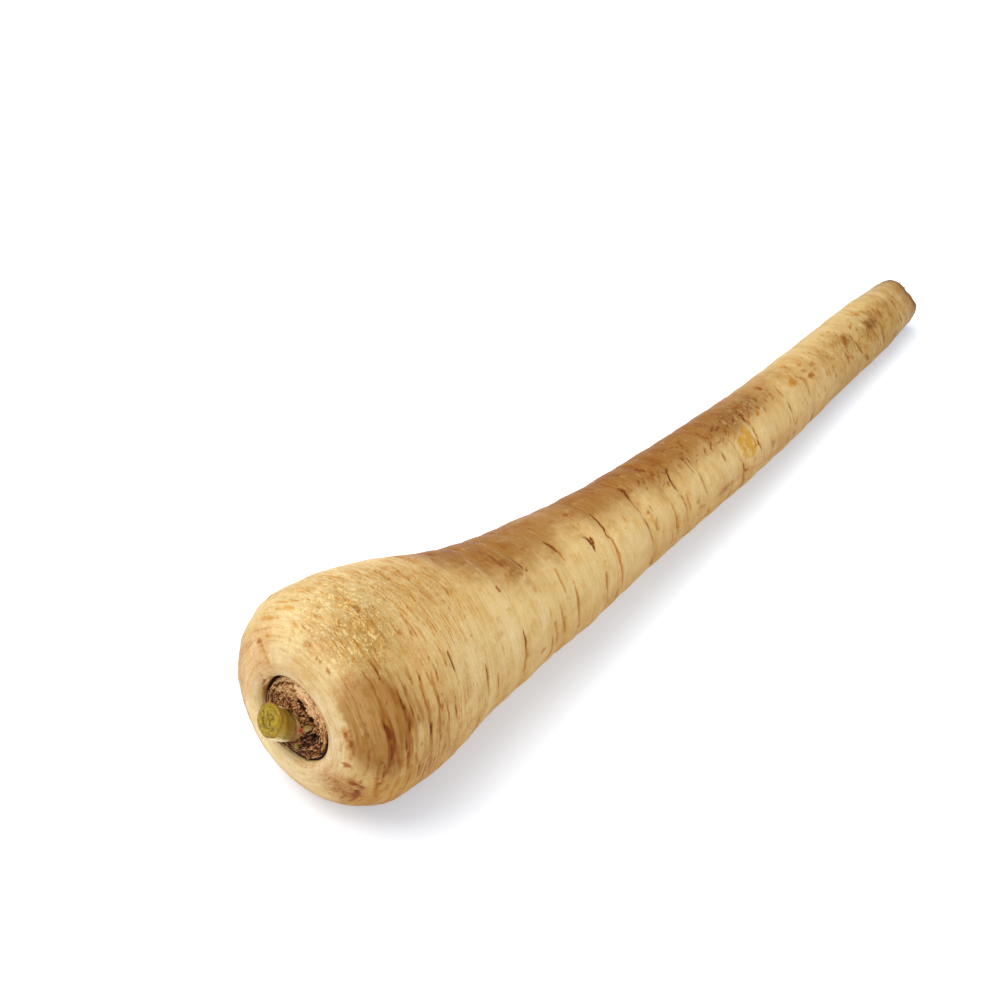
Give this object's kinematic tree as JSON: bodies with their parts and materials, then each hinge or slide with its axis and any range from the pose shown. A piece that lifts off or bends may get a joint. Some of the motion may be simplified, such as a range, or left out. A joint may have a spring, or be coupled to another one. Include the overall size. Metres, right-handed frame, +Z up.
{
  "type": "parsnip",
  "caption": "Whole parsnip lying on its side: tapered cream taproot with ringed creases, sunken corky crown and a cut green leaf stalk.",
  "frame": {"origin": "middle of the parsnip's box, on the surface that it lies on", "axes": "+X along the root from the head to the tip, +Z up; the hollow crown faces -X"},
  "size_m": [0.254, 0.0544, 0.053],
  "materials": {
    "skin": "waxy cream root skin, satin",
    "cork": "dry brown corky leaf bases, matt",
    "stalk": "olive green cut stalk, moist satin"
  },
  "bodies": {
    "root": {"root": "skin", "crown": "cork", "leaf_stalk": "stalk"}
  },
  "joints": []
}
